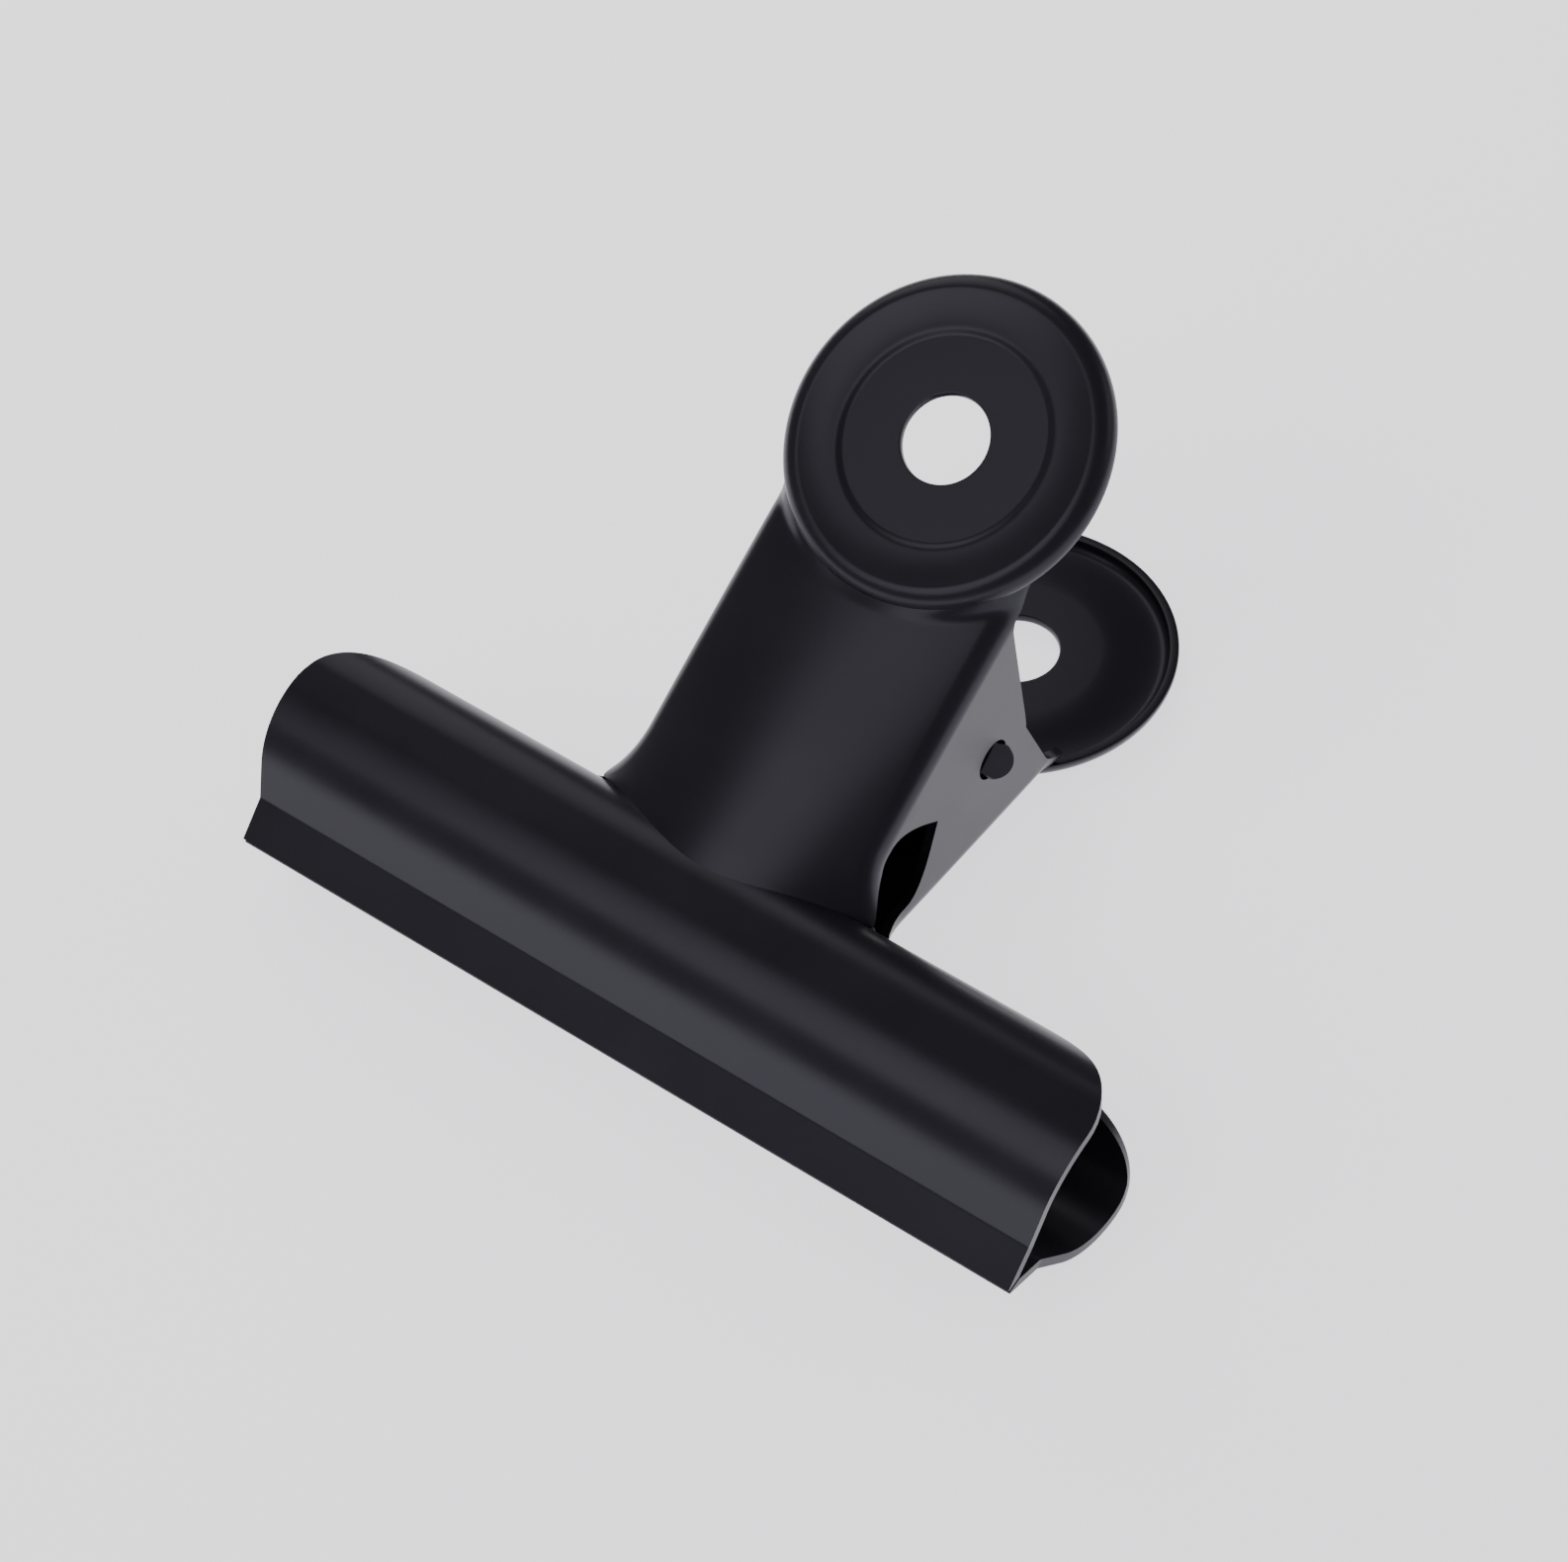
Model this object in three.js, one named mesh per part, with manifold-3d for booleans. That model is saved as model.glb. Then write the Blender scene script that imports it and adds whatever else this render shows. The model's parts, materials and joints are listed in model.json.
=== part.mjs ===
// Bulldog-style binder clip: two stamped sheet-steel plates hinged on bent tabs, and a spring between them.
// Millimetres. The clip lies on its back: the back plate's bulge and finger disk touch z = 0.
import * as THREE from "three";
import { mergeVertices } from "three/addons/utils/BufferGeometryUtils.js";
import Module from "manifold-3d";

const wasm = await Module();
wasm.setup();

const radians = THREE.MathUtils.degToRad;

// ---- driving dimensions -------------------------------------------------------------------------
// Clip frame: x along the jaws, z from the gripping edge to the finger disks, y = 0 between the plates.
// A plate is drawn by its distance "out" from y = 0, and is then placed on the front or the back side.
const sheet = 0.8;
const jawHalfWidth = 37.5;
const jawFlare = 0.8;
const lipGap = 0.15;

const lipFoot = 0.3;
const crease = { out: 2.12, z: 3.19 };
const runLean = radians(53.5);
const runLength = 3.17;
const lowerBulge = 7.67;
const crestLength = 2.23;
const upperBulge = 4.6;
const armReach = 18.7;
const cornerStart = 10.45;
const corner = { x: 12, along: 8.31 };
const straightHalf = 23;

const plateLean = radians(15.36);
const diskCentre = { out: 17.03, z: 51.09 };
const pivotZ = 36;

const neckCrown = { base: 0.55, top: -0.1 };
const crownRadius = 21;
const crownAtDisk = 0.45;
const neckBend = 2;
const frontNeckHalf = 11.35;
const backNeckHalf = 10.3;
const flangeDepth = { low: 3.8, high: 2.5 };
const fillet = { out: 5, along: 5.6, bendFade: 0.9 };
const earTip = 4.5;
const earFlank = radians(67);
const earBlend = { low: 4, high: 1.2 };

const disk = {
  hole: 3.6, flat: 8.4, step: 8.7, ridge: 11.9, round: 1.55,
  flatHeight: 0.35, stepHeight: 0.55, ridgeHeight: 0.85, wall: 0.2,
};
const seat = { outer: 14.4, inner: 13.05, height: -0.15 };

const tab = { outer: 1.5, flat: -0.4, halfAngle: radians(66), facing: radians(24), proud: 1.15 };
const pivotHole = 1.75;

const spring = {
  half: 7, thick: 0.6, roll: 3.2, legRise: radians(27),
  padDepth: 2.1, padRadius: 2.5, pad: 0.4,
};

// ---- small helpers ------------------------------------------------------------------------------
function range(count, from, to) {
  return Array.from({ length: count + 1 }, (_, i) => from + ((to - from) * i) / count);
}

function smoothStep(t) {
  const k = THREE.MathUtils.clamp(t, 0, 1);
  return k * k * (3 - 2 * k);
}

// The softened minimum of two heights, with a blend of the given size where they cross.
function softMin(a, b, size) {
  const h = Math.max(size - Math.abs(a - b), 0) / size;
  return Math.min(a, b) - (h * h * size) / 4;
}

// A root of f between low and high, where f changes sign.
function bisect(f, low, high) {
  let a = low;
  let b = high;
  for (let i = 0; i < 40; i += 1) {
    const middle = (a + b) / 2;
    if (f(a) * f(middle) <= 0) b = middle;
    else a = middle;
  }
  return (a + b) / 2;
}

function signedVolume(geometry) {
  const p = geometry.getAttribute("position");
  const index = geometry.getIndex();
  const [a, b, c] = [new THREE.Vector3(), new THREE.Vector3(), new THREE.Vector3()];
  let total = 0;
  for (let i = 0; i < index.count; i += 3) {
    a.fromBufferAttribute(p, index.getX(i));
    b.fromBufferAttribute(p, index.getX(i + 1));
    c.fromBufferAttribute(p, index.getX(i + 2));
    total += a.dot(b.cross(c)) / 6;
  }
  return total;
}

// A manifold solid from a closed three.js geometry, turned to face outward.
function solid(geometry) {
  const plain = geometry.index ? geometry.clone() : geometry;
  plain.deleteAttribute("normal");
  plain.deleteAttribute("uv");
  const merged = mergeVertices(plain, 1e-5);
  const triVerts = Uint32Array.from(merged.getIndex().array);
  if (signedVolume(merged) < 0) triVerts.reverse();
  const vertProperties = Float32Array.from(merged.getAttribute("position").array);
  return new wasm.Manifold(new wasm.Mesh({ numProp: 3, vertProperties, triVerts }));
}

function geometryOf(manifold) {
  const mesh = manifold.getMesh();
  const geometry = new THREE.BufferGeometry();
  geometry.setAttribute("position", new THREE.BufferAttribute(Float32Array.from(mesh.vertProperties), 3));
  geometry.setIndex(new THREE.BufferAttribute(Uint32Array.from(mesh.triVerts), 1));
  geometry.computeVertexNormals();
  return geometry;
}

// A closed sheet: a grid of outer points, the same grid of inner points, and a strip round the edge.
function sheetSolid(outer, inner) {
  const rows = outer.length;
  const cols = outer[0].length;
  const points = [...outer.flat(), ...inner.flat()];
  const positions = new Float32Array(points.flatMap((p) => [p.x, p.y, p.z]));
  const triangles = [];
  const at = (r, c, side) => side * rows * cols + r * cols + c;
  const quad = (a, b, c, d) => triangles.push(a, b, c, a, c, d);
  for (let r = 0; r + 1 < rows; r += 1) {
    for (let c = 0; c + 1 < cols; c += 1) {
      quad(at(r, c, 0), at(r, c + 1, 0), at(r + 1, c + 1, 0), at(r + 1, c, 0));
      quad(at(r, c, 1), at(r + 1, c, 1), at(r + 1, c + 1, 1), at(r, c + 1, 1));
    }
    quad(at(r, 0, 0), at(r + 1, 0, 0), at(r + 1, 0, 1), at(r, 0, 1));
    quad(at(r, cols - 1, 0), at(r, cols - 1, 1), at(r + 1, cols - 1, 1), at(r + 1, cols - 1, 0));
  }
  for (let c = 0; c + 1 < cols; c += 1) {
    quad(at(0, c, 0), at(0, c, 1), at(0, c + 1, 1), at(0, c + 1, 0));
    quad(at(rows - 1, c, 0), at(rows - 1, c + 1, 0), at(rows - 1, c + 1, 1), at(rows - 1, c, 1));
  }
  const geometry = new THREE.BufferGeometry();
  geometry.setAttribute("position", new THREE.BufferAttribute(positions, 3));
  geometry.setIndex(triangles);
  return solid(geometry);
}

// A prism along x from an outline in the y-z plane, centred on x = middle.
function prismAlongX(outline, width, middle) {
  const shape = new THREE.Shape(outline.map(([y, z]) => new THREE.Vector2(y, z)));
  const geometry = new THREE.ExtrudeGeometry(shape, { depth: width, bevelEnabled: false });
  const axes = new THREE.Matrix4().makeBasis(
    new THREE.Vector3(0, 1, 0),
    new THREE.Vector3(0, 0, 1),
    new THREE.Vector3(1, 0, 0),
  );
  geometry.applyMatrix4(axes);
  geometry.translate(middle - width / 2, 0, 0);
  return solid(geometry);
}

// ---- plate coordinates --------------------------------------------------------------------------
// "up" runs along the leaning plate from the disk centre, "lift" stands out of it.
function outZ(up, lift) {
  return {
    out: diskCentre.out + up * Math.sin(plateLean) + lift * Math.cos(plateLean),
    z: diskCentre.z + up * Math.cos(plateLean) - lift * Math.sin(plateLean),
  };
}

function upLift(out, z) {
  const dOut = out - diskCentre.out;
  const dZ = z - diskCentre.z;
  return {
    up: dOut * Math.sin(plateLean) + dZ * Math.cos(plateLean),
    lift: dOut * Math.cos(plateLean) - dZ * Math.sin(plateLean),
  };
}

const pivot = upLift(0, pivotZ);

// ---- jaw ----------------------------------------------------------------------------------------
const lipLength = Math.hypot(crease.out - lipFoot, crease.z);
const lipLean = Math.atan2(crease.out - lipFoot, crease.z);
const lowerEnd = runLength + lowerBulge * runLean;
const crestEnd = lowerEnd + crestLength;
const crestOut = crease.out + runLength * Math.sin(runLean) + lowerBulge * (1 - Math.cos(runLean));
const crestZ = crease.z + runLength * Math.cos(runLean) + lowerBulge * Math.sin(runLean);
const upperCentre = { out: crestOut - upperBulge, z: crestZ + crestLength };

// A point of the jaw's outer face: s is the distance along it from the crease, lean is its slope.
function jawProfile(s) {
  if (s < 0) {
    return { out: crease.out + s * Math.sin(lipLean), z: crease.z + s * Math.cos(lipLean), lean: lipLean };
  }
  if (s < runLength) {
    return { out: crease.out + s * Math.sin(runLean), z: crease.z + s * Math.cos(runLean), lean: runLean };
  }
  if (s < lowerEnd) {
    const lean = (lowerEnd - s) / lowerBulge;
    return {
      out: crestOut - lowerBulge * (1 - Math.cos(lean)),
      z: crestZ - lowerBulge * Math.sin(lean),
      lean,
    };
  }
  if (s < crestEnd) {
    return { out: crestOut, z: crestZ + s - lowerEnd, lean: 0 };
  }
  const turn = (s - crestEnd) / upperBulge;
  return {
    out: upperCentre.out + upperBulge * Math.cos(turn),
    z: upperCentre.z + upperBulge * Math.sin(turn),
    lean: -turn,
  };
}

// Half the blank's width at s: a slight flare up to the crest, then an elliptical corner.
function jawHalf(s) {
  const flare = jawFlare * Math.sin((Math.PI / 2) * THREE.MathUtils.clamp(s / cornerStart, 0, 1));
  const into = THREE.MathUtils.clamp((s - cornerStart) / corner.along, 0, 1);
  return jawHalfWidth + flare - corner.x * (1 - Math.sqrt(1 - into * into));
}

function jawX(u, s) {
  const x = Math.abs(u) * jawHalfWidth;
  if (x <= straightHalf) return Math.sign(u) * x;
  const stretch = (jawHalf(s) - straightHalf) / (jawHalfWidth - straightHalf);
  return Math.sign(u) * (straightHalf + (x - straightHalf) * stretch);
}

// ---- neck ---------------------------------------------------------------------------------------
const neckFoot = upLift(upperCentre.out, upperCentre.z + upperBulge).up;
const neckSpan = -disk.ridge - neckFoot;

function crownDrop(x, up) {
  const rise = THREE.MathUtils.clamp((up - neckFoot) / neckSpan, 0, 1);
  const flatten = THREE.MathUtils.lerp(1, crownAtDisk, rise ** 0.7);
  return flatten * (crownRadius - Math.sqrt(crownRadius * crownRadius - x * x));
}

// The face's slope towards the side at x, as an angle.
function crownSlope(x, up) {
  return Math.atan((crownDrop(x + 1e-4, up) - crownDrop(x - 1e-4, up)) / 2e-4);
}

function crownHeight(up) {
  const t = THREE.MathUtils.clamp((up - neckFoot) / neckSpan, 0, 1);
  return THREE.MathUtils.lerp(neckCrown.base, neckCrown.top, t);
}

// How far the neck's side stands out at its foot, where its edge runs into the arm's edge.
function footFlare(up) {
  const k = THREE.MathUtils.clamp((neckFoot + fillet.along + 0.2 - up) / fillet.along, 0, 0.985);
  return fillet.out * (1 - Math.sqrt(1 - k * k));
}

// The side bend opens out where the foot flares.
function bendRadius(up) {
  return neckBend + fillet.bendFade * footFlare(up);
}

// The height at which the side flange is cut: a shallow flange with the rounded ear on it.
function flangeCut(up) {
  const along = Math.abs(up - pivot.up);
  const tangent = earTip * Math.sin(earFlank);
  const ear = along < tangent
    ? pivot.lift - Math.sqrt(earTip * earTip - along * along)
    : pivot.lift - earTip * Math.cos(earFlank) + (along - tangent) * Math.tan(earFlank);
  return up < pivot.up
    ? softMin(ear, -flangeDepth.low, earBlend.low)
    : softMin(ear, -flangeDepth.high, earBlend.high);
}

// The lift that carries the neck up into the wall of the finger disk.
function seatShare(x, up) {
  return smoothStep((seat.outer - Math.hypot(x, up)) / (seat.outer - seat.inner));
}

// The bend from the face to the side flange, tangent to both.
function sideBend(up, half) {
  const radius = bendRadius(up);
  const side = half + footFlare(up);
  let edgeX = side - radius;
  for (let i = 0; i < 8; i += 1) {
    edgeX = side - radius + radius * Math.sin(crownSlope(edgeX, up));
  }
  const slope = crownSlope(edgeX, up);
  const centreLift = crownHeight(up) - crownDrop(edgeX, up) - radius * Math.cos(slope);
  return { edgeX, slope, centreX: side - radius, centreLift, radius };
}

// A point of the neck's outer face. Column "a" runs 0..1 across the face, 1..2 round the bend and
// 2..3 down the side flange, with its sign for the side.
function neckPoint(a, up, half) {
  const side = Math.sign(a);
  const k = Math.abs(a);
  const bend = sideBend(up, half);
  const cut = flangeCut(up);
  const last = Math.acos(THREE.MathUtils.clamp((cut - bend.centreLift) / bend.radius, 0, 1));
  let x = k * bend.edgeX;
  let lift = crownHeight(up) - crownDrop(Math.min(x, bend.edgeX), up);
  let faceLift = lift;
  if (k > 1) {
    const turn = THREE.MathUtils.lerp(bend.slope, last, Math.min(k - 1, 1));
    x = bend.centreX + bend.radius * Math.sin(turn);
    lift = bend.centreLift + bend.radius * Math.cos(turn);
    faceLift = bend.centreLift + bend.radius * Math.cos(bend.slope);
  }
  if (k > 2) {
    const run = Math.max(lift - cut, 0.2) * (k - 2);
    x += run * Math.cos(last);
    lift -= run * Math.sin(last);
  }
  return { x: side * x, up, lift: lift + seatShare(x, up) * (seat.height - faceLift) };
}

function neckVector(a, up, half) {
  const p = neckPoint(a, up, half);
  const q = outZ(p.up, p.lift);
  return new THREE.Vector3(p.x, -q.out, q.z);
}

// Where a neck column leaves the bulge, and where it ends inside the disk's wall.
function columnStart(a, half) {
  const reach = upperBulge - sheet / 2;
  const clear = (up) => {
    const p = neckPoint(a, up, half);
    const q = outZ(up, p.lift);
    return Math.hypot(q.out - upperCentre.out, q.z - upperCentre.z) - reach;
  };
  return bisect(clear, neckFoot - 5, neckFoot + 6);
}

function columnEnd(a, half) {
  return bisect((up) => Math.hypot(neckPoint(a, up, half).x, up) - seat.inner, -20, -1);
}

function neckSolid(half) {
  const columns = [
    ...range(1, -3, -2),
    ...range(3, -2, -1).slice(1),
    ...range(8, -1, 1).slice(1),
    ...range(3, 1, 2).slice(1),
    ...range(1, 2, 3).slice(1),
  ].map((a) => (a === 0 ? 1e-9 : a));
  const low = neckFoot + 2.4;
  const high = -15.2;
  const rows = [...range(3, -1, 0), ...range(14, 0, 1).slice(1), ...range(3, 1, 2).slice(1)];
  const starts = columns.map((a) => columnStart(a, half));
  const ends = columns.map((a) => columnEnd(a, half));
  const upAt = (row, i) => {
    if (row < 0) return THREE.MathUtils.lerp(low, starts[i], -row);
    if (row > 1) return THREE.MathUtils.lerp(high, ends[i], row - 1);
    return THREE.MathUtils.lerp(low, high, row);
  };
  const outer = rows.map((row) => columns.map((a, i) => neckVector(a, upAt(row, i), half)));
  const step = 1e-3;
  const inner = rows.map((row, r) => columns.map((a, i) => {
    const up = upAt(row, i);
    const inward = a > 0 ? -step : step;
    const across = neckVector(a + inward, up, half).sub(outer[r][i]).multiplyScalar(Math.sign(inward));
    const along = neckVector(a, up + step, half).sub(outer[r][i]);
    const outward = across.cross(along).normalize();
    return outer[r][i].clone().addScaledVector(outward, -sheet);
  }));
  return sheetSolid(outer, inner);
}

// The crease between bulge and neck, as a distance along the jaw's outer face.
function jawTop(x, half) {
  const bend = sideBend(neckFoot, half);
  const from = Math.abs(x);
  if (from >= bend.centreX + bend.radius) return armReach;
  const face = from <= bend.edgeX
    ? crownHeight(neckFoot) - crownDrop(from, neckFoot)
    : bend.centreLift + Math.sqrt(bend.radius ** 2 - (from - bend.centreX) ** 2);
  const lift = face - sheet / 2;
  const above = (s) => {
    const p = jawProfile(s);
    return upLift(p.out, p.z).lift - lift;
  };
  if (above(armReach) > 0) return armReach;
  return bisect(above, crestEnd, armReach);
}

function jawSolid(half) {
  const rows = [
    { from: -lipLength, share: 0 },
    { from: 0, share: 0 },
    ...range(1, runLength / 2, runLength).slice(1).map((from) => ({ from, share: 0 })),
    ...range(6, runLength, lowerEnd).slice(1).map((from) => ({ from, share: 0 })),
    ...range(1, lowerEnd, crestEnd).slice(1).map((from) => ({ from, share: 0 })),
    ...range(6, 0, 1).slice(1).map((share) => ({ from: crestEnd, share })),
  ];
  const halfColumns = [
    ...range(5, 0, 1).map((k) => k * half),
    half + 1.2,
    half + 2.4,
    ...range(6, 0.5, 1).map((k) => k * jawHalfWidth),
  ];
  const leftColumns = halfColumns.slice(1).reverse().map((x) => -x);
  const columns = [...leftColumns, ...halfColumns].map((x) => x / jawHalfWidth);
  const tops = columns.map((u) => jawTop(u * jawHalfWidth, half));
  const place = (p, x) => new THREE.Vector3(x, -p.out, p.z);
  const outer = [];
  const inner = [];
  rows.forEach((row) => {
    const outerRow = [];
    const innerRow = [];
    columns.forEach((u, i) => {
      const s = row.from + row.share * (tops[i] - crestEnd);
      const p = jawProfile(s);
      const before = jawProfile(s - 1e-6).lean;
      const mid = (before + p.lean) / 2;
      const depth = sheet / Math.cos((before - p.lean) / 2);
      const x = jawX(u, s);
      outerRow.push(place(p, x));
      innerRow.push(place({ out: p.out - depth * Math.cos(mid), z: p.z + depth * Math.sin(mid) }, x));
    });
    outer.push(outerRow);
    inner.push(innerRow);
  });
  const facing = solid(new THREE.BoxGeometry(4 * jawHalfWidth, 4, 8).translate(0, 2 - lipGap, 4 - 2));
  return sheetSolid(outer, inner).subtract(facing);
}

// ---- finger disk --------------------------------------------------------------------------------
function diskSolid() {
  const roundLift = disk.ridgeHeight - disk.round;
  const ringHeight = (r) => {
    const t = (r - disk.step) / (disk.ridge - disk.step);
    return disk.stepHeight + (disk.ridgeHeight - disk.stepHeight) * t * t;
  };
  const ring = range(3, disk.step, disk.ridge).slice(0, -1);
  const turns = range(5, Math.PI / 2, 0);
  const rimArc = (radius) => turns.map((a) => [
    disk.ridge + radius * Math.cos(a),
    roundLift + radius * Math.sin(a),
  ]);
  const face = [
    [disk.hole, disk.flatHeight],
    [disk.flat, disk.flatHeight],
    ...ring.map((r) => [r, ringHeight(r)]),
    ...rimArc(disk.round),
    [disk.ridge + disk.round, roundLift - disk.wall],
  ];
  const back = [
    [disk.ridge + disk.round - sheet, roundLift - disk.wall],
    ...rimArc(disk.round - sheet).reverse(),
    ...ring.map((r) => [r, ringHeight(r) - sheet]).reverse(),
    [disk.flat, disk.flatHeight - sheet],
    [disk.hole, disk.flatHeight - sheet],
  ];
  const profile = [...face, ...back, face[0]].map(([r, lift]) => new THREE.Vector2(r, lift));
  const geometry = new THREE.LatheGeometry(profile, 36);
  geometry.rotateX(Math.PI + plateLean);
  geometry.translate(0, -diskCentre.out, diskCentre.z);
  return solid(geometry);
}

// ---- pivot --------------------------------------------------------------------------------------
function tabSolid(side, half) {
  const turns = range(8, -tab.halfAngle, tab.halfAngle);
  const rounded = turns.map((a) => [tab.outer * Math.cos(a), tab.outer * Math.sin(a)]);
  const corner = 0.96 * tab.outer * Math.sin(tab.halfAngle);
  const outline = [...rounded, [tab.flat, corner], [tab.flat, -corner]].map(([along, across]) => [
    along * Math.cos(tab.facing) - across * Math.sin(tab.facing),
    pivotZ + along * Math.sin(tab.facing) + across * Math.cos(tab.facing),
  ]);
  const from = half - sheet;
  const to = frontNeckHalf + tab.proud;
  return prismAlongX(outline, to - from, (side * (from + to)) / 2);
}

function pivotBore() {
  const bore = new THREE.CylinderGeometry(pivotHole, pivotHole, 4 * frontNeckHalf, 32);
  bore.rotateZ(Math.PI / 2);
  bore.translate(0, 0, pivotZ);
  return solid(bore);
}

// ---- the three pieces ---------------------------------------------------------------------------
function plateSolid(half) {
  return jawSolid(half).add(neckSolid(half)).add(diskSolid());
}

function frontPlate() {
  return geometryOf(plateSolid(frontNeckHalf).subtract(pivotBore()));
}

function backPlate() {
  const mirrored = geometryOf(plateSolid(backNeckHalf)).scale(1, -1, 1);
  const plate = [-1, 1].reduce((whole, side) => whole.add(tabSolid(side, backNeckHalf)), solid(mirrored));
  return geometryOf(plate);
}

// The spring: one strip bent round the pivot, with a leg and a short pad against each plate.
function springGeometry() {
  const lean = Math.PI / 2 - plateLean;
  const padLine = outZ(0, -spring.padDepth);
  const foot = {
    y: spring.roll * Math.sin(spring.legRise),
    z: pivotZ - spring.roll * Math.cos(spring.legRise),
  };
  const legTan = Math.tan(spring.legRise);
  const padCot = Math.tan(plateLean);
  const meetY = (padLine.out + padCot * (foot.z - legTan * foot.y - padLine.z)) / (1 - padCot * legTan);
  const meetZ = foot.z + legTan * (meetY - foot.y);
  const trim = spring.padRadius * Math.tan((lean - spring.legRise) / 2);
  const bendCentre = {
    y: meetY - trim * Math.cos(spring.legRise) - spring.padRadius * Math.sin(spring.legRise),
    z: meetZ - trim * Math.sin(spring.legRise) + spring.padRadius * Math.cos(spring.legRise),
  };
  const arc = (centre, radius, headings) => headings.map((heading) => ({
    y: centre.y + radius * Math.sin(heading),
    z: centre.z - radius * Math.cos(heading),
    heading,
  }));
  const path = [
    ...arc({ y: 0, z: pivotZ }, spring.roll, range(5, 0, spring.legRise)),
    ...arc(bendCentre, spring.padRadius, range(4, spring.legRise, lean)),
  ];
  const last = path[path.length - 1];
  path.push({
    y: last.y + spring.pad * Math.cos(lean),
    z: last.z + spring.pad * Math.sin(lean),
    heading: lean,
  });
  const offset = (p, d) => [p.y - d * Math.sin(p.heading), p.z + d * Math.cos(p.heading)];
  const above = path.map((p) => offset(p, spring.thick / 2));
  const below = path.map((p) => offset(p, -spring.thick / 2));
  const flip = ([y, z]) => [-y, z];
  const outline = [
    ...below,
    ...above.slice().reverse(),
    ...above.slice(1).map(flip),
    ...below.slice(1).reverse().map(flip),
  ];
  return geometryOf(prismAlongX(outline, 2 * spring.half, 0));
}

// ---- assembly -----------------------------------------------------------------------------------
// The clip rests on its lower bulge and the rim of its back disk: both share one tangent plane.
const lowerCentre = { out: crestOut - lowerBulge, z: crestZ };
const rimCentre = outZ(disk.ridge, disk.ridgeHeight - disk.round);
const restTilt = bisect((tilt) => {
  const acrossTilt = (c, radius) => c.out * Math.cos(tilt) - c.z * Math.sin(tilt) + radius;
  return acrossTilt(lowerCentre, lowerBulge) - acrossTilt(rimCentre, disk.round);
}, 0, radians(40));
const restHeight = lowerCentre.out * Math.cos(restTilt) - lowerCentre.z * Math.sin(restTilt) + lowerBulge;

const blackCoat = new THREE.MeshStandardMaterial({ color: 0x1f1e24, roughness: 0.38, metalness: 0.1 });
const springSteel = new THREE.MeshStandardMaterial({ color: 0x8d8f94, roughness: 0.3, metalness: 1 });

function named(name, geometry, material) {
  const mesh = new THREE.Mesh(geometry, material);
  mesh.name = name;
  return mesh;
}

const clip = new THREE.Group();
clip.add(named("front_plate", frontPlate(), blackCoat.clone()));
clip.add(named("back_plate", backPlate(), blackCoat.clone()));
clip.add(named("spring", springGeometry(), springSteel));
clip.rotation.x = restTilt - Math.PI / 2;
clip.position.z = restHeight;

clip.updateMatrixWorld(true);
const bounds = new THREE.Box3().setFromObject(clip, true);
clip.position.y = -(bounds.min.y + bounds.max.y) / 2;

const part = new THREE.Group();
part.add(clip);
export default part;
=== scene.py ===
import json
import math

import bmesh
import bpy
from mathutils import Matrix, Vector


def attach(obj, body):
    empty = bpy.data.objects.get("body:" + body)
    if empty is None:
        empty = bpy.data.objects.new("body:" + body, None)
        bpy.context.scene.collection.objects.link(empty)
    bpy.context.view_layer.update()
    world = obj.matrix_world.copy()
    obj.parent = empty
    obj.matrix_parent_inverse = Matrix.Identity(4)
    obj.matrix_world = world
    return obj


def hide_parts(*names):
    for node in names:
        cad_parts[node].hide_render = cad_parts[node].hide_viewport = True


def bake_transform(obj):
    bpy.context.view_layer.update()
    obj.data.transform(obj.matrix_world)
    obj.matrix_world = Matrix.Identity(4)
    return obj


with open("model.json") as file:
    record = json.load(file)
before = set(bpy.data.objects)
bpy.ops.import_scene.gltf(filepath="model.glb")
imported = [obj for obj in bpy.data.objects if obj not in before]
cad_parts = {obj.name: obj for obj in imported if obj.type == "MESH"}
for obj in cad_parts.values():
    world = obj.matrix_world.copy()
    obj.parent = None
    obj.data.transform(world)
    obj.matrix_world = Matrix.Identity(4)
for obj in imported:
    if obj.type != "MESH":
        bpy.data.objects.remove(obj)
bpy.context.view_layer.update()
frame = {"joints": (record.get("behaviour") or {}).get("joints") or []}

# ---- driving dimensions, in millimetres ---------------------------------------------------------
# Clip frame: x along the jaws, z from the gripping edge to the finger disks, y = 0 between the plates.
# A plate is drawn by its distance "out" from y = 0, and then placed on the front or the back side.
# The jaw: its sheet, its lip below the crease, and the straight run and two bulges above it.
SHEET = 0.8
JAW_HALF = 37.5
JAW_FLARE = 0.8
LIP_GAP = 0.15
LIP_FOOT = 0.3
CREASE_OUT = 2.12
CREASE_Z = 3.19
RUN_LEAN = math.radians(53.5)
RUN_LENGTH = 3.17
LOWER_BULGE = 7.67
CREST_LENGTH = 2.23
UPPER_BULGE = 4.6
ARM_REACH = 18.7
CORNER_START = 10.45
CORNER_X = 12.0
CORNER_ALONG = 8.31
STRAIGHT_HALF = 23.0

# The plate above the jaw leans out, with the finger disk's centre and the pivot given in the clip frame.
PLATE_LEAN = math.radians(15.36)
DISK_OUT = 17.03
DISK_Z = 51.09
PIVOT_Z = 36.0

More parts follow.
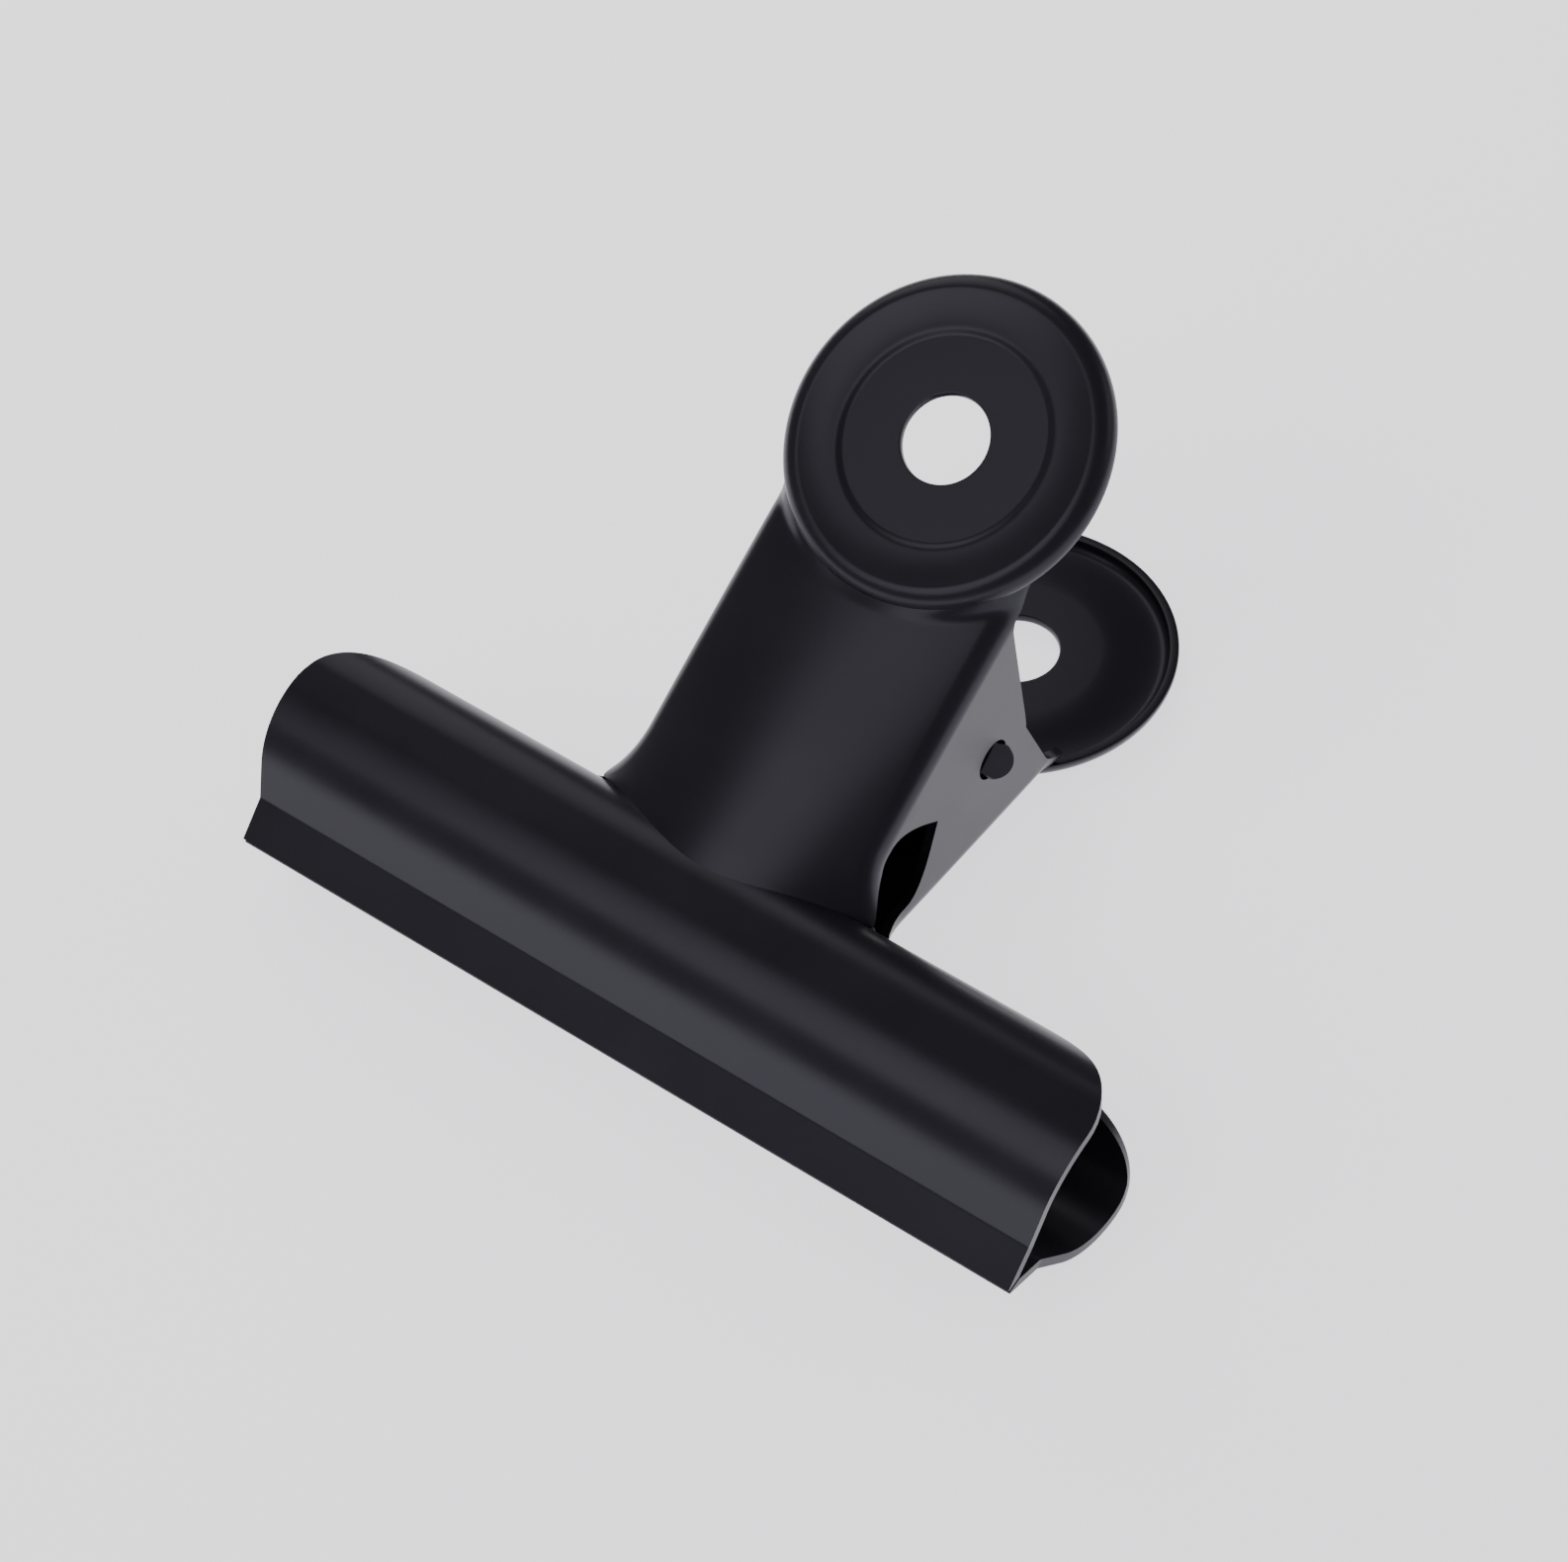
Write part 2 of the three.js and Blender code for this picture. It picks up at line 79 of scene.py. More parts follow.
# The neck: a crowned channel with a side flange, which is cut to a rounded ear round the pivot.
CROWN_BASE = 0.55
CROWN_TOP = -0.1
CROWN_RADIUS = 21.0
CROWN_AT_DISK = 0.45
CROWN_FADE = 0.7
NECK_BEND = 2.0
FRONT_NECK_HALF = 11.35
BACK_NECK_HALF = 10.3
FLANGE_LOW = 3.8
FLANGE_HIGH = 2.5
FILLET_OUT = 5.0
FILLET_ALONG = 5.6
FILLET_FOOT = 0.2
FILLET_TURN = 0.985
BEND_FADE = 0.9
NECK_GRID_LOW = 2.4
NECK_GRID_HIGH = -15.2
EAR_TIP = 4.5
EAR_FLANK = math.radians(67)
EAR_BLEND_LOW = 4.0
EAR_BLEND_HIGH = 1.2

# The finger disk: radii and heights of its hole, flat, step, ridge and rolled rim, and the neck's seat.
HOLE = 3.6
FLAT = 8.2
STEP = 8.9
BACK_FLAT = 7.0
RIDGE = 11.9
RIM_ROUND = 1.55
FLAT_HEIGHT = 0.35
STEP_HEIGHT = 0.55
RIDGE_HEIGHT = 0.85
RIM_WALL = 0.2
SEAT_OUTER = 14.4
SEAT_INNER = 13.05
SEAT_HEIGHT = -0.15

# The tab that turns in the front plate's pivot hole. A swell is (distance from the free end, size).
TAB_OUTER = 1.5
TAB_FLAT = -0.4
TAB_HALF_ANGLE = math.radians(66)
TAB_SLOPE = 0.75
TAB_FLAT_WIDTH = 0.96
TAB_SWELLS = ((0.9, 0), (0.5, 0.08), (0.25, 0.14), (0.08, 0.1), (0, 0))
TAB_FACING = math.radians(24)
TAB_PROUD = 1.15
PIVOT_HOLE = 1.75

# The spring strip: a roll under the pivot, a straight leg on each side, and a bend into a short pad.
SPRING_HALF = 7.0
SPRING_THICK = 0.6
SPRING_ROLL = 3.2
SPRING_RISE = math.radians(27)
PAD_DEPTH = 2.1
PAD_RADIUS = 2.5
PAD_LENGTH = 0.4

# EDGE_ROUND softens cut edges, SLIVER is the longest edge merged away, and FINE multiplies the grids.
EDGE_ROUND = 0.16
SLIVER = 0.004
SHARP_ANGLE = math.radians(28)
FINE = 2

# The view in the clip frame: eye in millimetres, and the turn from clip axes to picture axes as an
# axis times an angle, with x to the right, y down and z away from the eye.
LENS = 111.09
SENSOR = 36
SHIFT = (-0.01425, 0.1151)
EYE = (154.169, -330.695, -76.860)
EYE_TURN = (1.15023142, 0.65895661, 0.17911049)

# Soft panels: azimuth and elevation in degrees, distance and size in metres, radiance relative to white.
PANELS = {
    "key": (-107, 50, 0.9, (0.57, 0.63), 2.1),
    "back_left": (146, 40, 0.3, (0.2, 0.24), 1.3),
    "right": (48, 26, 0.6, (0.4, 0.26), 0.8),
}
PANEL_TARGET = (0, 0, 0.02)
FLOOR_HALF = 2.0
FLOOR_Z = -0.0002
FLOOR_GLOW = 1.5
WORLD_GLOW = 0.2


# ---- small helpers ------------------------------------------------------------------------------
def clamp(value, low, high):
    return max(low, min(high, value))


def lerp(a, b, t):
    return a + (b - a) * t


def smooth_step(t):
    k = clamp(t, 0, 1)
    return k * k * (3 - 2 * k)


def spread(count, start, end):
    """count + 1 values from start to end."""
    return [lerp(start, end, i / count) for i in range(count + 1)]


def soft_min(a, b, size):
    """The smaller of two heights, blended where they cross."""
    h = max(size - abs(a - b), 0) / size
    return min(a, b) - h * h * size / 4


def bisect(f, low, high):
    """A root of f between low and high, where f changes sign."""
    a, b = low, high
    start = f(a)
    for _ in range(44):
        middle = (a + b) / 2
        if start * f(middle) <= 0:
            b = middle
        else:
            a = middle
    return (a + b) / 2


# ---- plate coordinates --------------------------------------------------------------------------
# "up" runs along the leaning plate from the disk centre, "lift" stands out of it.
def out_z(up, lift):
    out = DISK_OUT + up * math.sin(PLATE_LEAN) + lift * math.cos(PLATE_LEAN)
    z = DISK_Z + up * math.cos(PLATE_LEAN) - lift * math.sin(PLATE_LEAN)
    return out, z


def up_lift(out, z):
    d_out = out - DISK_OUT
    d_z = z - DISK_Z
    up = d_out * math.sin(PLATE_LEAN) + d_z * math.cos(PLATE_LEAN)
    lift = d_out * math.cos(PLATE_LEAN) - d_z * math.sin(PLATE_LEAN)
    return up, lift


PIVOT_UP, PIVOT_LIFT = up_lift(0, PIVOT_Z)


# ---- jaw ----------------------------------------------------------------------------------------
LIP_LENGTH = math.hypot(CREASE_OUT - LIP_FOOT, CREASE_Z)
LIP_LEAN = math.atan2(CREASE_OUT - LIP_FOOT, CREASE_Z)
LOWER_END = RUN_LENGTH + LOWER_BULGE * RUN_LEAN
CREST_END = LOWER_END + CREST_LENGTH
CREST_OUT = CREASE_OUT + RUN_LENGTH * math.sin(RUN_LEAN) + LOWER_BULGE * (1 - math.cos(RUN_LEAN))
CREST_Z = CREASE_Z + RUN_LENGTH * math.cos(RUN_LEAN) + LOWER_BULGE * math.sin(RUN_LEAN)
UPPER_OUT = CREST_OUT - UPPER_BULGE
UPPER_Z = CREST_Z + CREST_LENGTH


def jaw_profile(s):
    """(out, z, lean) of the jaw's outer face at distance s from the crease between lip and run."""
    if s < 0:
        return CREASE_OUT + s * math.sin(LIP_LEAN), CREASE_Z + s * math.cos(LIP_LEAN), LIP_LEAN
    if s < RUN_LENGTH:
        return CREASE_OUT + s * math.sin(RUN_LEAN), CREASE_Z + s * math.cos(RUN_LEAN), RUN_LEAN
    if s < LOWER_END:
        lean = (LOWER_END - s) / LOWER_BULGE
        out = CREST_OUT - LOWER_BULGE * (1 - math.cos(lean))
        return out, CREST_Z - LOWER_BULGE * math.sin(lean), lean
    if s < CREST_END:
        return CREST_OUT, CREST_Z + s - LOWER_END, 0.0
    turn = (s - CREST_END) / UPPER_BULGE
    out = UPPER_OUT + UPPER_BULGE * math.cos(turn)
    return out, UPPER_Z + UPPER_BULGE * math.sin(turn), -turn


def jaw_half(s):
    """Half the blank's width: a slight flare up to the crest, then an elliptical corner."""
    flare = JAW_FLARE * math.sin(math.pi / 2 * clamp(s / CORNER_START, 0, 1))
    into = clamp((s - CORNER_START) / CORNER_ALONG, 0, 1)
    return JAW_HALF + flare - CORNER_X * (1 - math.sqrt(1 - into * into))


def jaw_x(u, s):
    """The x of column u at distance s: straight in the middle, and stretched to the outline further out."""
    x = abs(u) * JAW_HALF
    if x > STRAIGHT_HALF:
        stretch = (jaw_half(s) - STRAIGHT_HALF) / (JAW_HALF - STRAIGHT_HALF)
        x = STRAIGHT_HALF + (x - STRAIGHT_HALF) * stretch
    return math.copysign(x, u)


# ---- neck ---------------------------------------------------------------------------------------
NECK_FOOT = up_lift(UPPER_OUT, UPPER_Z + UPPER_BULGE)[0]
NECK_SPAN = -RIDGE - NECK_FOOT


def crown_drop(x, up):
    """How far the crowned face falls from its top line at x. The crown flattens towards the disk."""
    flatten = lerp(1, CROWN_AT_DISK, clamp((up - NECK_FOOT) / NECK_SPAN, 0, 1) ** CROWN_FADE)
    return flatten * (CROWN_RADIUS - math.sqrt(CROWN_RADIUS ** 2 - x * x))


def crown_slope(x, up):
    """The face's slope towards the side at x, as an angle."""
    return math.atan((crown_drop(x + 1e-4, up) - crown_drop(x - 1e-4, up)) / 2e-4)


def crown_height(up):
    """The height of the crown's top line over the plate's plane."""
    return lerp(CROWN_BASE, CROWN_TOP, clamp((up - NECK_FOOT) / NECK_SPAN, 0, 1))


def foot_flare(up):
    """How far the neck's side stands out at its foot, where its edge runs into the arm's edge."""
    k = clamp((NECK_FOOT + FILLET_ALONG + FILLET_FOOT - up) / FILLET_ALONG, 0, FILLET_TURN)
    return FILLET_OUT * (1 - math.sqrt(1 - k * k))


def bend_radius(up):
    """The side bend opens out where the foot flares."""
    return NECK_BEND + BEND_FADE * foot_flare(up)


def flange_cut(up):
    """The height at which the side flange is cut: a shallow flange with the rounded ear on it."""
    along = abs(up - PIVOT_UP)
    tangent = EAR_TIP * math.sin(EAR_FLANK)
    if along < tangent:
        ear = PIVOT_LIFT - math.sqrt(EAR_TIP ** 2 - along ** 2)
    else:
        ear = PIVOT_LIFT - EAR_TIP * math.cos(EAR_FLANK) + (along - tangent) * math.tan(EAR_FLANK)
    if up < PIVOT_UP:
        return soft_min(ear, -FLANGE_LOW, EAR_BLEND_LOW)
    return soft_min(ear, -FLANGE_HIGH, EAR_BLEND_HIGH)


def side_bend(up, half):
    """The bend from face to flange: (face's edge x, slope there, centre x, centre lift, radius)."""
    radius = bend_radius(up)
    side = half + foot_flare(up)
    edge_x = side - radius
    for _ in range(8):
        edge_x = side - radius + radius * math.sin(crown_slope(edge_x, up))
    slope = crown_slope(edge_x, up)
    centre_lift = crown_height(up) - crown_drop(edge_x, up) - radius * math.cos(slope)
    return edge_x, slope, side - radius, centre_lift, radius


def neck_point(a, up, half):
    """(x, lift) of the neck's outer face at column a, whose sign is the side.

    The size of a runs 0..1 across the face, 1..2 round the bend and 2..3 down the flange.
    """
    side = math.copysign(1, a)
    k = abs(a)
    edge_x, slope, centre_x, centre_lift, radius = side_bend(up, half)
    cut = flange_cut(up)
    last = math.acos(clamp((cut - centre_lift) / radius, 0, 1))
    if k <= 1:
        x = k * edge_x
        lift = crown_height(up) - crown_drop(x, up)
        face_lift = lift
    else:
        turn = lerp(slope, last, min(k - 1, 1))
        x = centre_x + radius * math.sin(turn)
        lift = centre_lift + radius * math.cos(turn)
        face_lift = centre_lift + radius * math.cos(slope)
    if k > 2:
        run = max(lift - cut, 0.2) * (k - 2)
        x += run * math.cos(last)
        lift -= run * math.sin(last)
    share = smooth_step((SEAT_OUTER - math.hypot(x, up)) / (SEAT_OUTER - SEAT_INNER))
    return side * x, lift + share * (SEAT_HEIGHT - face_lift)


def neck_vector(a, up, half):
    """The same point in the clip frame."""
    x, lift = neck_point(a, up, half)
    out, z = out_z(up, lift)
    return Vector((x, -out, z))


def column_start(a, half):
    """Where a column of the neck leaves the jaw's upper bulge, as a distance up."""
    reach = UPPER_BULGE - SHEET / 2

    def clear(up):
        out, z = out_z(up, neck_point(a, up, half)[1])
        return math.hypot(out - UPPER_OUT, z - UPPER_Z) - reach

    return bisect(clear, NECK_FOOT - 5, NECK_FOOT + 6)


def column_end(a, half):
    """Where a column of the neck ends inside the disk's wall."""
    return bisect(lambda up: math.hypot(neck_point(a, up, half)[0], up) - SEAT_INNER, -20, -1)


def jaw_top(x, half):
    """Where the neck's face leaves the bulge, as a distance along the jaw's outer face."""
    edge_x, slope, centre_x, centre_lift, radius = side_bend(NECK_FOOT, half)
    reach = abs(x)
    if reach >= centre_x + radius:
        return ARM_REACH
    if reach <= edge_x:
        lift = crown_height(NECK_FOOT) - crown_drop(reach, NECK_FOOT) - SHEET / 2
    else:
        lift = centre_lift + math.sqrt(radius ** 2 - (reach - centre_x) ** 2) - SHEET / 2

    def above(s):
        out, z, _ = jaw_profile(s)
        return up_lift(out, z)[1] - lift

    if above(ARM_REACH) > 0:
        return ARM_REACH
    return bisect(above, CREST_END, ARM_REACH)


# ---- meshes -------------------------------------------------------------------------------------
def placement():
    """Clip frame in millimetres to part frame in metres, lying on its back bulge and its back rim."""
    lower = (CREST_OUT - LOWER_BULGE, CREST_Z)
    rim = out_z(RIDGE, RIDGE_HEIGHT - RIM_ROUND)

    def across(tilt):
        low_side = lower[0] * math.cos(tilt) - lower[1] * math.sin(tilt) + LOWER_BULGE
        rim_side = rim[0] * math.cos(tilt) - rim[1] * math.sin(tilt) + RIM_ROUND
        return low_side - rim_side

    tilt = bisect(across, 0, math.radians(40))
    height = lower[0] * math.cos(tilt) - lower[1] * math.sin(tilt) + LOWER_BULGE
    turn = Matrix.Rotation(tilt - math.pi / 2, 4, "X")
    pivot = turn @ Vector((0, 0, PIVOT_Z))
    hinge = frame["joints"][0]["pos_m"]
    shift = Vector((0, hinge[1] * 1000 - pivot.y, height))
    return Matrix.Scale(0.001, 4) @ Matrix.Translation(shift) @ turn


PLACE = placement()


def edit(mesh, change):
    """Runs one change on the mesh in its editable form."""
    work = bmesh.new()
    work.from_mesh(mesh)
    change(work)
    work.to_mesh(mesh)
    work.free()


def new_mesh(name, points, faces):
    mesh = bpy.data.meshes.new(name)
    mesh.from_pydata(points, [], faces)
    mesh.update()
    return mesh


def sheet_mesh(name, outer, inner):
    """A closed sheet: a grid of outer points, a matching grid of inner points, and an edge strip."""
    rows = len(outer)
    cols = len(outer[0])
    points = [p for row in outer for p in row] + [p for row in inner for p in row]

    def at(r, c, side):
        return side * rows * cols + r * cols + c

    faces = []
    top = rows - 1
    right = cols - 1
    for r in range(top):
        for c in range(right):
            faces.append((at(r, c, 0), at(r, c + 1, 0), at(r + 1, c + 1, 0), at(r + 1, c, 0)))
            faces.append((at(r, c, 1), at(r + 1, c, 1), at(r + 1, c + 1, 1), at(r, c + 1, 1)))
        faces.append((at(r, 0, 0), at(r + 1, 0, 0), at(r + 1, 0, 1), at(r, 0, 1)))
        faces.append((at(r, right, 0), at(r, right, 1), at(r + 1, right, 1), at(r + 1, right, 0)))
    for c in range(right):
        faces.append((at(0, c, 0), at(0, c, 1), at(0, c + 1, 1), at(0, c + 1, 0)))
        faces.append((at(top, c, 0), at(top, c + 1, 0), at(top, c + 1, 1), at(top, c, 1)))
    mesh = new_mesh(name, points, faces)
    edit(mesh, lambda work: bmesh.ops.triangulate(work, faces=work.faces))
    return mesh


def new_object(name, mesh):
    obj = bpy.data.objects.new(name, mesh)
    bpy.context.scene.collection.objects.link(obj)
    return obj


def finished_mesh(obj):
    """The object's mesh with its modifiers applied."""
    bpy.context.view_layer.update()
    graph = bpy.context.evaluated_depsgraph_get()
    return bpy.data.meshes.new_from_object(obj.evaluated_get(graph))


def combine(base, other, operation):
    """base becomes its union with, or difference from, other, and other is removed."""
    cut = base.modifiers.new("combine", "BOOLEAN")
    cut.operation = operation
    cut.solver = "MANIFOLD"
    cut.object = other
    base.data = finished_mesh(base)
    base.modifiers.clear()
    bpy.data.objects.remove(other)
    return base


def jaw_rows():
    """(distance, share of the top stretch) for every row of the jaw's grid."""
    lip = spread(3 * FINE, -LIP_LENGTH, -0.25)
    crease = spread(4, -0.25, 0.25)[1:]
    run = spread(3 * FINE, 0.25, RUN_LENGTH)[1:]
    lower = spread(10 * FINE, RUN_LENGTH, LOWER_END)[1:]
    crest = spread(3, LOWER_END, CREST_END)[1:]
    rows = [(s, 0) for s in lip + crease + run + lower + crest]
    return rows + [(CREST_END, t) for t in spread(14 * FINE, 0, 1)[1:]]


def jaw_columns(half):
    """Signed positions of the jaw's grid columns, as shares of its half width."""
    middle = spread(10 * FINE, 0, half - 1)
    neck_side = spread(8 * FINE, half - 1, half + 3)[1:]
    arm = spread(10 * FINE, half + 3, JAW_HALF)[1:]
    right = middle + neck_side + arm
    return [x / JAW_HALF for x in [-x for x in reversed(right[1:])] + right]


def jaw_object(half):
    """One jaw, lip to arm, for a neck of that half width."""
    columns = jaw_columns(half)
    tops = [jaw_top(u * JAW_HALF, half) for u in columns]
    outer, inner = [], []
    for start, share in jaw_rows():
        outer_row, inner_row = [], []
        for u, top in zip(columns, tops):
            s = start + share * (top - CREST_END)
            out, z, lean = jaw_profile(s)
            before = jaw_profile(s - 1e-6)[2]
            middle = (before + lean) / 2
            depth = SHEET / math.cos((before - lean) / 2)
            x = jaw_x(u, s)
            outer_row.append(Vector((x, -out, z)))
            inner_row.append(Vector((x, -out + depth * math.cos(middle), z + depth * math.sin(middle))))
        outer.append(outer_row)
        inner.append(inner_row)
    return new_object("jaw", sheet_mesh("jaw", outer, inner))


def neck_object(half):
    """The neck's channel, from inside the bulge to inside the disk's wall."""
    side = spread(3, -3, -2) + spread(6 * FINE, -2, -1)[1:]
    face = spread(14 * FINE, -1, 1)[1:]
    columns = [a or 1e-9 for a in side + face + [-a for a in reversed(side[:-1])]]
    starts = [column_start(a, half) for a in columns]
    ends = [column_end(a, half) for a in columns]
    low = NECK_FOOT + NECK_GRID_LOW
    high = NECK_GRID_HIGH
    rows = spread(5 * FINE, -1, 0) + spread(30 * FINE, 0, 1)[1:] + spread(8 * FINE, 1, 2)[1:]

    def up_at(row, i):
        if row < 0:
            return lerp(low, starts[i], -row)
        if row > 1:
            return lerp(high, ends[i], row - 1)
        return lerp(low, high, row)

    outer, inner = [], []
    for row in rows:
        outer_row, inner_row = [], []
        for i, a in enumerate(columns):
            up = up_at(row, i)
            point = neck_vector(a, up, half)
            step = -1e-3 if a > 0 else 1e-3
            across = (neck_vector(a + step, up, half) - point) * math.copysign(1, step)
            along = neck_vector(a, up + 1e-3, half) - point
            outer_row.append(point)
            inner_row.append(point - across.cross(along).normalized() * SHEET)
        outer.append(outer_row)
        inner.append(inner_row)
    return new_object("neck", sheet_mesh("neck", outer, inner))


def disk_profile():
    """(radius, lift) round the disk's section: face, rim and back."""
    round_lift = RIDGE_HEIGHT - RIM_ROUND
    steps = spread(6, 0, 1)
    step_up = [(lerp(FLAT, STEP, t), lerp(FLAT_HEIGHT, STEP_HEIGHT, smooth_step(t))) for t in steps]
    ring = spread(8 * FINE, 0, 1)[1:-1]
    dish = [(lerp(STEP, RIDGE, t), lerp(STEP_HEIGHT, RIDGE_HEIGHT, t * t)) for t in ring]
    face = step_up + dish
    turns = spread(12 * FINE, math.pi / 2, 0)

    def rim(radius):
        return [(RIDGE + radius * math.cos(a), round_lift + radius * math.sin(a)) for a in turns]

    def nose(radius, lift, towards_r, towards_lift):
        """Three points round a cut corner: from its side, over its shoulder, to its end."""
        third = EDGE_ROUND / 3
        side = (radius, lift + towards_lift * EDGE_ROUND)
        shoulder = (radius + towards_r * third, lift + towards_lift * third)
        return [side, shoulder, (radius + towards_r * EDGE_ROUND, lift)]

    outer_wall = RIDGE + RIM_ROUND
    inner_wall = outer_wall - SHEET
    low = round_lift - RIM_WALL
    edge = nose(outer_wall, low, -1, 1) + nose(inner_wall, low, 1, 1)[::-1]
    back_lift = FLAT_HEIGHT - SHEET
    hole_front = nose(HOLE, FLAT_HEIGHT, 1, -1)
    hole_back = nose(HOLE, back_lift, 1, 1)[::-1]
    back = []
    for t in spread(12 * FINE, 1, 0):
        lift = lerp(FLAT_HEIGHT, RIDGE_HEIGHT, smooth_step(t)) - SHEET
        back.append((lerp(BACK_FLAT, RIDGE, t), lift))
    rim_inside = rim(RIM_ROUND - SHEET)[::-1]
    return hole_front + face + rim(RIM_ROUND) + edge + rim_inside + back + hole_back


def disk_object():
    profile = disk_profile()
    count = 64 * FINE
    points, faces = [], []
    for i in range(count):
        angle = 2 * math.pi * i / count
        for r, lift in profile:
            out, z = out_z(r * math.sin(angle), lift)
            points.append((r * math.cos(angle), -out, z))
    n = len(profile)
    for i in range(count):
        for j in range(n):
            a = i * n + j
            b = i * n + (j + 1) % n
            c = ((i + 1) % count) * n + (j + 1) % n
            d = ((i + 1) % count) * n + j
            faces.append((a, d, c, b))
    return face_outward(new_object("disk", new_mesh("disk", points, faces)))


def face_outward(obj):
    """Makes the faces agree with each other and point out of the solid."""

    def turn(work):
        bmesh.ops.recalc_face_normals(work, faces=work.faces)
        if work.calc_volume(signed=True) < 0:
            bmesh.ops.reverse_faces(work, faces=work.faces)

    edit(obj.data, turn)
    return obj


def box_object(low, high):
    low = Vector(low)
    high = Vector(high)
    place = Matrix.Translation((low + high) / 2) @ Matrix.Diagonal(high - low).to_4x4()
    mesh = bpy.data.meshes.new("box")
    edit(mesh, lambda work: bmesh.ops.create_cube(work, size=1, matrix=place))
    return new_object("box", mesh)


def bore_object():
    """A cylinder through both ears, to cut the pivot holes."""
    turn = Matrix.Translation((0, 0, PIVOT_Z)) @ Matrix.Rotation(math.pi / 2, 4, "Y")
    mesh = bpy.data.meshes.new("bore")
    edit(mesh, lambda work: bmesh.ops.create_cone(
        work, cap_ends=True, segments=48 * FINE, radius1=PIVOT_HOLE, radius2=PIVOT_HOLE,
        depth=4 * FRONT_NECK_HALF, matrix=turn,
    ))
    return new_object("bore", mesh)


def tab_section(swell):
    """(along, across) round the tab: an arc, and a flat side behind it."""
    turns = spread(12 * FINE, -TAB_HALF_ANGLE, TAB_HALF_ANGLE)
    radius = TAB_OUTER + swell
    arc = [(radius * math.cos(a), radius * math.sin(a)) for a in turns]
    flat = [(TAB_FLAT - swell / 2, TAB_FLAT_WIDTH * TAB_OUTER * math.sin(a)) for a in reversed(turns)]
    return arc + flat


def tab_object(side):
    """A half-round tab on the back plate's ear, which swells a little towards its slanting free end."""
    start = BACK_NECK_HALF - SHEET
    end = FRONT_NECK_HALF + TAB_PROUD
    stations = [(start, 0)] + [(end - back, swell) for back, swell in TAB_SWELLS]
    points = []
    for x, swell in stations:
        for along, across in tab_section(swell):
            y = along * math.cos(TAB_FACING) - across * math.sin(TAB_FACING)
            z = along * math.sin(TAB_FACING) + across * math.cos(TAB_FACING)
            cut = TAB_SLOPE * (TAB_OUTER - along) if x > start else 0
            points.append((side * (x - cut), y, PIVOT_Z + z))
    n = len(tab_section(0))
    last = (len(stations) - 1) * n
    faces = []
    for k in range(0, last, n):
        for j in range(n):
            following = (j + 1) % n
            faces.append((k + j, k + n + j, k + n + following, k + following))
    for j in range(n // 2 - 1):
        faces.append((j, j + 1, n - 2 - j, n - 1 - j))
        faces.append((last + j, last + n - 1 - j, last + n - 2 - j, last + j + 1))
    return face_outward(new_object("tab", new_mesh("tab", points, faces)))


def flip_to_back(obj):
    """Mirrors a front-side object to the back side."""
    obj.data.transform(Matrix.Scale(-1, 4, (0, 1, 0)))
    obj.data.flip_normals()
    return obj


def shade(obj):
    """Merges the unions' slivers, moves the object to the part frame, and smooths all but cut edges."""

    def merge(work):
        bmesh.ops.remove_doubles(work, verts=work.verts, dist=SLIVER)
        bmesh.ops.dissolve_degenerate(work, dist=SLIVER, edges=work.edges)

    edit(obj.data, merge)
    obj.data.transform(PLACE)
    obj.data.shade_smooth()
    obj.data.set_sharp_from_angle(angle=SHARP_ANGLE)
    even = obj.modifiers.new("even", "WEIGHTED_NORMAL")
    even.mode = "FACE_AREA_WITH_ANGLE"
    even.keep_sharp = True
    obj.data = finished_mesh(obj)
    obj.modifiers.clear()
    return obj


def plate_object(name, half):
    """Jaw, neck and disk as one solid on the front side, its lip cut short of the other plate's lip."""
    plate = jaw_object(half)
    far = 4 * JAW_HALF
    # The box covers all that reaches behind the lip's gap line, between 2 below the edge and 6 above it.
    plate = combine(plate, box_object((-far, -LIP_GAP, -2), (far, 4, 6)), "DIFFERENCE")
    plate = combine(plate, neck_object(half), "UNION")
    plate = combine(plate, disk_object(), "UNION")
    plate.name = name
    return plate


def front_plate():
    """The front plate, with the pivot holes in its ears."""
    plate = plate_object("front_plate_visual", FRONT_NECK_HALF)
    return shade(combine(plate, bore_object(), "DIFFERENCE"))


def back_plate():
    """The back plate: a narrower neck, mirrored to the back, with a tab on each ear."""
    plate = flip_to_back(plate_object("back_plate_visual", BACK_NECK_HALF))
    for side in (-1, 1):
        plate = combine(plate, tab_object(side), "UNION")
    return shade(plate)


